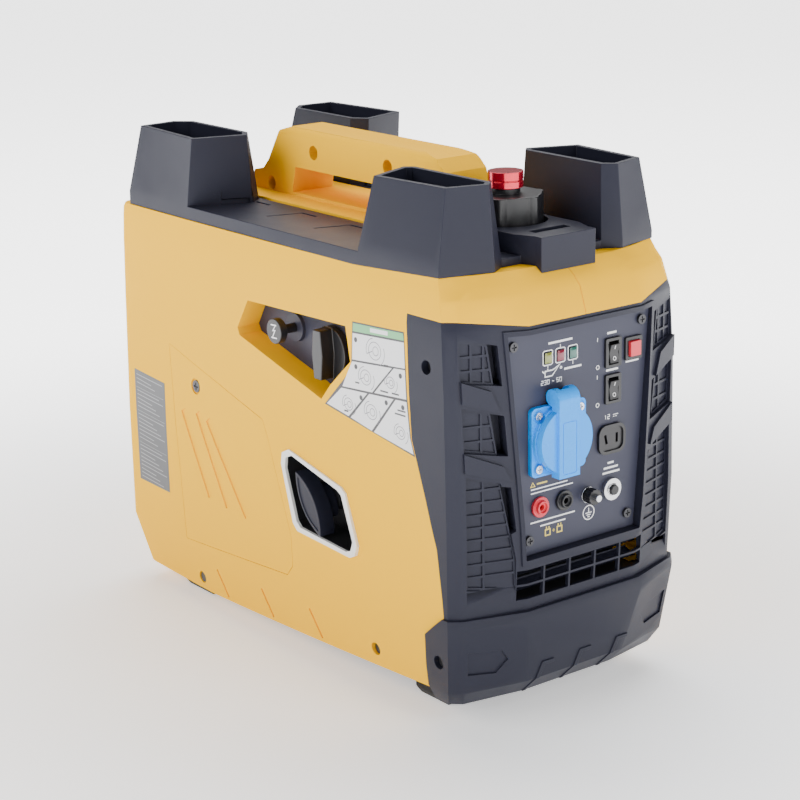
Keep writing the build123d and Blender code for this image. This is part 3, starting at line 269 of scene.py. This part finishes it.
def ribbon(path, width, closed=False):
    """Points and quads of a flat line of one width: the path moved half a width to each side."""
    p = np.array(path, float)
    ahead, behind = np.roll(p, -1, axis=0) - p, p - np.roll(p, 1, axis=0)
    if not closed:
        ahead[-1], behind[0] = behind[-1], ahead[0]
    ahead /= np.linalg.norm(ahead, axis=1)[:, None]
    behind /= np.linalg.norm(behind, axis=1)[:, None]
    way = ahead + behind
    way /= np.linalg.norm(way, axis=1)[:, None]
    normal = np.stack([-way[:, 1], way[:, 0]], axis=1) / np.clip((way * ahead).sum(axis=1), 0.4, 1)[:, None]
    points = np.stack([p + normal * width / 2, p - normal * width / 2], axis=1).reshape(-1, 2)
    i = np.arange(len(p) if closed else len(p) - 1)
    j = (i + 1) % len(p)
    return points, np.stack([2 * i, 2 * i + 1, 2 * j + 1, 2 * j], axis=1)


def dense(path, step=3.0, closed=False):
    """The path with extra points so that no step is longer than step."""
    p = np.array(list(path) + ([path[0]] if closed else []), float)
    parts = [np.linspace(a, b, max(2, int(np.ceil(np.linalg.norm(b - a) / step)) + 1))[:-1]
             for a, b in zip(p[:-1], p[1:])]
    return np.concatenate(parts + ([] if closed else [p[-1:]]))


def printed(name, strokes, place, finish, body):
    """Flat lines joined into one piece; place turns the flat (u, v) points into space."""
    points, faces, count = [], [], 0
    for path, width, closed in strokes:
        flat, quads = ribbon(path, width, closed)
        points.append(flat)
        faces.append(quads + count)
        count += len(flat)
    return piece(name, place(np.concatenate(points)) * MM, np.concatenate(faces), body, finish)


def ring(cx, cz, radius, sides=28, squash=1.0):
    """A closed circle or oval of points."""
    a = np.linspace(0, 2 * pi, sides, endpoint=False)
    return np.stack([cx + radius * np.cos(a), cz + radius * squash * np.sin(a)], axis=1)


def arc(cx, cz, radius, start, end, sides=14):
    """An open arc of points, angles in degrees."""
    a = np.radians(np.linspace(start, end, sides))
    return np.stack([cx + radius * np.cos(a), cz + radius * np.sin(a)], axis=1)


def on_side(lift):
    """Places flat (x, z) points on the left skin."""
    return lambda flat: np.stack(
        [flat[:, 0], skin_height("left_shell", flat[:, 0], flat[:, 1], lift), flat[:, 1]], axis=1)


START_SHEETS = {  # the skin's front edge turns at z 211, so the lowest sheet and cell have a tip of their own
    "start_sheet_back": [(100.3, 282.5), (158.8, 285.6), (163.4, 237), (99.3, 247)],
    "start_sheet_low": [(99.4, 247.3), (163.5, 237), (166.4, 211.2), (66.5, 215)],
    "start_sheet_tip": [(66.5, 215), (166.4, 211.2), (170.6, 199), (118.5, 207)],
}
START_CELLS = {
    "header": [(101.1, 281.4), (157.9, 284.5), (158.9, 279.6), (100.9, 275.6)],
    "cell_1": [(100.8, 274.2), (158.9, 278.2), (160.3, 260.2), (100.5, 255)],
    "cell_2": [(100.5, 253.6), (146.0, 257.6), (123.6, 235.6), (88.6, 232.9)],
    "cell_3": [(148.2, 258), (160.4, 259), (162.0, 238.6), (126.0, 235.8)],
    "cell_4": [(87.2, 231.4), (117.8, 233.6), (95.2, 212), (69.2, 216)],
    "cell_5": [(120.2, 233.8), (147.8, 235.8), (122.2, 207.2), (97.6, 211.6)],
    "cell_6": [(150.2, 236), (162.2, 236.8), (165.2, 212), (129.2, 212)],
    "cell_6_tip": [(129.2, 212), (165.2, 212), (169.0, 200.6), (124.6, 206.8)],
}
for sheet, corners in START_SHEETS.items():
    side_patch(sheet, corners, "label_line", 0.10)
for cell, corners in START_CELLS.items():
    side_patch("start_" + cell, corners, "label_green" if cell == "header" else "label_white", 0.16)
sketches, bars, badges = [], [], []
for cx, cz, size in ((126.5, 266, 7), (116.5, 245, 6), (144.5, 247, 4.5),
                     (95.5, 221, 5), (122.5, 221, 6), (155, 213, 5)):
    sketches += [(ring(cx, cz, size, squash=0.9), 0.5, True), (ring(cx + 1, cz, size * 0.45), 0.5, True),
                 (arc(cx - 1, cz, size * 1.25, 100, 200), 0.5, False),
                 (arc(cx + 2, cz - 1, size * 1.3, -60, 30), 0.5, False),
                 ([(cx - size * 1.3, cz - size * 0.5), (cx - size * 0.4, cz - size * 0.1)], 0.6, False)]
for cx, cz in ((104.5, 270), (105, 250.5), (155.5, 254), (110.5, 229), (139.5, 231.5), (158, 232)):
    badges.append((ring(cx, cz, 0.9), 1.9, True))
for x, z, length in ((137, 258, 5), (104, 239, 5), (133, 239, 9), (146, 239.8, 8),
                     (90, 215.2, 5), (152, 229, 9), (149, 226, 12)):
    bars.append(([(x, z), (x + length, z + 0.3)], 1.2, False))
printed("start_sketches", [(dense(p, closed=c), w, c) for p, w, c in sketches],
        on_side(0.2), "label_sketch", "machine")
printed("start_badges", badges, on_side(0.2), "label_line", "machine")
printed("start_word_bars", [(dense(p), w, c) for p, w, c in bars], on_side(0.2), "label_line", "machine")
printed("start_header_bar", [(dense([(121, 280), (141, 281.2)]), 3.0, False)],
        on_side(0.2), "label_white", "machine")

DATA_PLATE = [(-211, 184.2), (-161.5, 181.6), (-162.5, 87.8), (-211.5, 88)]
side_patch("data_plate", DATA_PLATE, "label_grey", 0.1, cells=20)
rows = [180 - 3.4 * i for i in range(27) if i not in (3, 9, 17)]
lines = [(dense([(-208, z), (-166 - 6 * ((i * 7) % 4), z - 2.0 + 0.02 * i)]), 0.7, False)
         for i, z in enumerate(rows)]
lines += [(dense([(-209, z), (-164.5, z - 2.1)]), 0.35, False) for z in (169, 149, 121.5)]
printed("data_plate_lines", lines, on_side(0.16), "label_pale", "machine")

# ---- Prints on the control panel -------------------------------------------------------------
PANEL_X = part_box("control_panel")[1][0] * 1000
SEGMENTS = {
    "0": [[(0, 0), (0, 1), (0.6, 1), (0.6, 0), (0, 0)]], "1": [[(0.3, 0), (0.3, 1)], [(0.1, 0.8), (0.3, 1)]],
    "2": [[(0, 1), (0.6, 1), (0.6, 0.5), (0, 0.5), (0, 0), (0.6, 0)]],
    "3": [[(0, 1), (0.6, 1), (0.6, 0), (0, 0)], [(0.1, 0.5), (0.6, 0.5)]],
    "5": [[(0.6, 1), (0, 1), (0, 0.5), (0.6, 0.5), (0.6, 0), (0, 0)]],
    "-": [[(0.1, 0.5), (0.5, 0.5)]], "~": [[(0, 0.45), (0.15, 0.6), (0.45, 0.4), (0.6, 0.55)]],
}


def digits(text, y, z, height, width):
    """Strokes of plain stroke digits from a lower left corner."""
    out = []
    for i, ch in enumerate(text):
        for path in SEGMENTS.get(ch, []):
            out.append(([(y + (i * 0.95 + u) * height, z + v * height) for u, v in path], width, False))
    return out


def word_bar(y0, y1, z):
    """A short bar where a word would stand."""
    return ([(y0, z), (y1, z)], 1.5, False)


def on_panel(lift=0.06):
    """Places flat (y, z) points just proud of the panel."""
    return lambda flat: np.stack([np.full(len(flat), PANEL_X + lift), flat[:, 0], flat[:, 1]], axis=1)


LENSES = [(-28.5, 265.3), (-17.0, 265.3), (-5.5, 265.3)]
marks = []
for y, z in LENSES:
    marks.append(([(y - 4.3, z - 4.3), (y - 4.3, z + 4.3), (y - 3.3, z + 5.1), (y + 3.3, z + 5.1),
                   (y + 4.3, z + 4.3), (y + 4.3, z - 4.3), (y + 3.3, z - 5.1), (y - 3.3, z - 5.1)], 0.75, True))
marks += [([(-17, 270.4), (-17, 273)], 0.6, False), ([(-5.5, 260.2), (-5.5, 257)], 0.6, False),
          ([(-28.5, 260.2), (-28.5, 258)], 0.6, False)]
marks += [word_bar(-28, -6, 275.3), word_bar(-13.5, 2.5, 254.8)]
marks.append(([(-31, 256), (-24, 256), (-21.5, 257), (-17.5, 259), (-24.5, 252), (-31, 252)], 0.9, True))
marks += [([(-28.5, 256), (-28.5, 257.6)], 0.9, False), ([(-33.6, 256.5), (-31, 254.2)], 0.9, False),
          (ring(-16.4, 256.4, 0.7, 10), 0.7, True)]
for text, y in (("230", -34.5), ("~", -24.5), ("50", -20.5)):
    marks += digits(text, y, 246.7, 2.9, 0.55)
marks += [word_bar(26.8, 35.6, 273.2), word_bar(26.0, 37.4, 246.2), word_bar(44.8, 57.2, 249.4)]
for z in (270, 242.8):
    marks.append(([(17.6, z - 1.4), (17.6, z + 1.4)], 0.6, False))
for z in (250, 222.4):
    marks.append((ring(18, z, 1.4, 18), 0.6, True))
marks += digits("12", 25, 210.6, 3.0, 0.55)
marks += [([(33, 212.8), (38, 212.8)], 0.5, False), ([(33, 211.4), (34.4, 211.4)], 0.5, False),
          ([(35.2, 211.4), (36.6, 211.4)], 0.5, False)]
marks += [word_bar(28.2, 34, 177.6), word_bar(24.4, 38.2, 174.0), word_bar(23.4, 39.8, 170.4)]
marks += [([(-44, 172.9), (-10, 172.9)], 0.9, False), ([(-44, 170.1), (-5, 170.1)], 0.9, False)]
marks += [([(-44.5, 148.6), (-3, 148.6)], 1.1, False), ([(-35.5, 144.8), (-12, 144.8)], 1.1, False)]
EARTH = (10.2, 144.6)
marks += [(ring(*EARTH, 5.2, 36), 0.8, True),
          ([(EARTH[0], EARTH[1] + 3.6), (EARTH[0], EARTH[1] - 0.2)], 0.8, False)]
marks += [([(EARTH[0] - w, EARTH[1] - d), (EARTH[0] + w, EARTH[1] - d)], 0.7, False)
          for w, d in ((3, 0.2), (2, 1.7), (1, 3.2))]
printed("panel_marks", marks, on_panel(), "print_white", "machine")
signs = [([(-44.3, 175), (-40.3, 175), (-42.3, 178)], 0.6, True),
         ([(-38.6, 176.4), (-29, 176.4)], 1.2, False)]
for y in (-28.5, -17.5):
    signs += [([(y - 2.2, 136.6), (y + 2.2, 136.6), (y + 2.2, 140.8), (y - 2.2, 140.8)], 1.0, True),
              ([(y - 1.2, 141.4), (y - 1.2, 143)], 1.0, False),
              ([(y + 1.2, 141.4), (y + 1.2, 143)], 1.0, False)]
signs += [([(-24, 139), (-22, 139)], 0.9, False), ([(-23, 138), (-23, 140)], 0.9, False)]
printed("panel_signs", signs, on_panel(), "print_yellow", "machine")
ROCKER_RISE, OFF_SLOPE, ON_SLOPE = 2.06, 0.162, 0.3125  # rocker middle over the panel, mm, and slopes
rocker_marks = {"engine_switch": 259.0, "economy_switch": 232.5}
for name, z in rocker_marks.items():
    low = [(ring(31.6, z - 4.2, 1.3, 18), 0.5, True)]
    tilt = lambda flat, z=z: np.stack(
        [PANEL_X + ROCKER_RISE + (z - flat[:, 1]) * OFF_SLOPE, flat[:, 0], flat[:, 1]], axis=1)
    high = [([(31.6, z + 2.6), (31.6, z + 5.2)], 0.6, False)]
    rise = lambda flat, z=z: np.stack(
        [PANEL_X + ROCKER_RISE + (flat[:, 1] - z) * ON_SLOPE, flat[:, 0], flat[:, 1]], axis=1)
    printed(name + "_off_mark", low, tilt, "print_white", body_of(name + "_rocker"))
    printed(name + "_on_mark", high, rise, "print_white", body_of(name + "_rocker"))

# ---- Choke knob symbol -----------------------------------------------------------------------
KNOB_LOW, KNOB_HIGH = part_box("choke_knob")
knob_x = (KNOB_LOW[0] + KNOB_HIGH[0]) * 500
knob_z = (KNOB_LOW[2] + KNOB_HIGH[2]) * 500
symbol = [([(knob_x - 3.8, knob_z + 4.6), (knob_x + 3.4, knob_z + 5.0)], 1.0, False),
          ([(knob_x + 2.2, knob_z + 4.6), (knob_x - 1.2, knob_z + 0.4),
            (knob_x + 1.6, knob_z + 0.9), (knob_x - 1.8, knob_z - 4.6)], 0.9, False),
          ([(knob_x - 3.4, knob_z - 5.0), (knob_x + 3.8, knob_z - 4.8)], 1.0, False)]
printed("choke_symbol", symbol, lambda flat: np.stack(
            [flat[:, 0], np.full(len(flat), KNOB_LOW[1] * 1000 - 0.05), flat[:, 1]], axis=1),
        "print_white", "choke")

# ---- Dark duct with slats behind the lower grille ---------------------------------------------
def folded_sheet(name, profile, half_width, finish, body):
    """A sheet whose (x, z) profile is carried straight along Y from -half_width to half_width."""
    x, z = np.array(profile, float).T
    y = np.array([-half_width, half_width])
    points = np.stack([np.repeat(x, 2), np.tile(y, len(x)), np.repeat(z, 2)], axis=1) * MM
    return piece(name, points, grid_faces(len(x), 2), body, finish)


folded_sheet("air_duct", [(213, 121), (188, 121), (188, 92), (213, 92)], 61.5, "black_plastic", "machine")
for row, low in enumerate((95.5, 107.2)):
    folded_sheet(f"air_slat_{row}", [(212.5, low + 3.4), (203, low + 7.2), (203, low + 8.4)],
                 61.0, "charcoal_plastic", "machine")

# ---- Starter rope ----------------------------------------------------------------------------
ROPE_LOW, ROPE_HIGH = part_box("starter_rope")


def twisted_rope(name, start, end, radius, strands=3, turns=6.0):
    """A laid rope along Y: each strand is a small circle carried round the axis on a helix."""
    steps, sides = 90, 10
    t = np.linspace(0, 1, steps)[:, None]
    a = np.linspace(0, 2 * pi, sides, endpoint=False)[None, :]
    points, faces = [], []
    for k in range(strands):
        turn = 2 * pi * (turns * t + k / strands)
        x = start[0] + radius * 0.46 * np.cos(turn) + radius * 0.54 * np.cos(a)
        z = start[2] + radius * 0.46 * np.sin(turn) + radius * 0.54 * np.sin(a)
        y = start[1] + (end[1] - start[1]) * t + 0 * a
        points.append(np.stack([x, y, z], axis=-1).reshape(-1, 3))
        faces.append(grid_faces(steps, sides, wrap=True) + k * steps * sides)
    return piece(name, np.concatenate(points), np.concatenate(faces), None, "rope_cord", smooth=True)


rope_x, rope_z = (ROPE_LOW[0] + ROPE_HIGH[0]) / 2, (ROPE_LOW[2] + ROPE_HIGH[2]) / 2
rope = twisted_rope("starter_rope_laid", (rope_x, ROPE_LOW[1], rope_z), (rope_x, ROPE_HIGH[1], rope_z),
                    (ROPE_HIGH[0] - ROPE_LOW[0]) / 2)
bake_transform(rope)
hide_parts("starter_rope")

# ---- Indicator lenses in their three colours --------------------------------------------------
LENS_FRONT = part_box("indicator_lenses")[1][0] * 1000
for (y, z), finish in zip(LENSES, ("lens_amber", "lens_red", "lens_green")):
    s, t = np.meshgrid(np.linspace(-1, 1, 12), np.linspace(-1, 1, 12))
    dome = LENS_FRONT + 0.9 * (1 - s ** 4) * (1 - t ** 4)
    points = np.stack([dome, y + 3.2 * s, z + 3.8 * t], axis=-1).reshape(-1, 3) * MM
    piece(finish + "_dome", points, grid_faces(12, 12), "machine", finish, smooth=True)

# ---- Floor, lights and camera ----------------------------------------------------------------
FLOOR_HALF = 30
floor = piece("floor", [(x * FLOOR_HALF, y * FLOOR_HALF, 0) for x, y in ((-1, -1), (1, -1), (1, 1), (-1, 1))],
              [(0, 1, 2, 3)], None, "label_white")
floor.data.materials.clear()
glowing_floor_material = bpy.data.materials.new("glowing_floor_material")
glowing_floor_material.use_nodes = True
floor_nodes, floor_links = glowing_floor_material.node_tree.nodes, glowing_floor_material.node_tree.links
floor_shader = floor_nodes["Principled BSDF"]
floor_shader.inputs["Base Color"].default_value = (0.90, 0.90, 0.91, 1)
floor_shader.inputs["Roughness"].default_value = 0.7
# Painted light: the floor glows white, weakly (0.6) near the machine and strongly (3.0) from 1.1 m out. This
# whitens the backdrop and lights the machine's sides from below, though the floor is no lamp.
floor_shader.inputs["Emission Color"].default_value = (1.0, 1.0, 1.0, 1.0)
floor_coords = floor_nodes.new("ShaderNodeTexCoord")
from_middle = floor_nodes.new("ShaderNodeVectorMath")
from_middle.operation = "LENGTH"
floor_links.new(floor_coords.outputs["Object"], from_middle.inputs[0])
glow = floor_nodes.new("ShaderNodeMapRange")
glow.interpolation_type = "SMOOTHSTEP"
glow.inputs["From Min"].default_value = 0.22
glow.inputs["From Max"].default_value = 1.1
glow.inputs["To Min"].default_value = 0.6
glow.inputs["To Max"].default_value = 3.0
floor_links.new(from_middle.outputs["Value"], glow.inputs["Value"])
floor_links.new(glow.outputs["Result"], floor_shader.inputs["Emission Strength"])
floor.data.materials.append(glowing_floor_material)


def soft_box(name, place, aim, size, power):
    """A rectangular area light that faces aim."""
    light = bpy.data.lights.new(name, "AREA")
    light.shape = "RECTANGLE"
    light.size, light.size_y = size
    light.energy = power
    obj = bpy.data.objects.new(name, light)
    obj.location = place
    obj.rotation_euler = (Vector(aim) - Vector(place)).to_track_quat("-Z", "Y").to_euler()
    bpy.context.scene.collection.objects.link(obj)


soft_box("key_light", (2.4, 0.2, 1.3), (0, 0, 0.2), (1.6, 1.6), 36)
soft_box("side_light", (-0.2, -2.6, 1.6), (0, 0, 0.2), (2.4, 1.6), 62)
soft_box("top_light", (-0.9, 0.9, 2.2), (0, 0, 0.2), (2.4, 2.4), 90)
world = bpy.data.worlds.new("studio")
world.use_nodes = True
world.node_tree.nodes["Background"].inputs["Color"].default_value = (1, 1, 1, 1)
world.node_tree.nodes["Background"].inputs["Strength"].default_value = 0.22
bpy.context.scene.world = world

AZIMUTH, ELEVATION, ROLL = radians(52.7), radians(16.14), radians(-1.11)
TARGET, DISTANCE = Vector((-0.003, 0.01183, 0.17936)), 1.67436
back = Vector((sin(AZIMUTH) * cos(ELEVATION), -cos(AZIMUTH) * cos(ELEVATION), sin(ELEVATION)))
camera = bpy.data.objects.new("camera", bpy.data.cameras.new("camera"))
camera.data.sensor_width = 36
camera.data.lens = 95.74
camera.data.clip_end = 100
right = (-back).cross(Vector((0, 0, 1))).normalized()
up = right.cross(-back)
turned_right = right * cos(ROLL) + up * sin(ROLL)
turned_up = up * cos(ROLL) - right * sin(ROLL)
facing = Matrix((turned_right, turned_up, back)).transposed().to_4x4()
camera.matrix_world = Matrix.Translation(TARGET + back * DISTANCE) @ facing
bpy.context.scene.collection.objects.link(camera)
bpy.context.scene.camera = camera
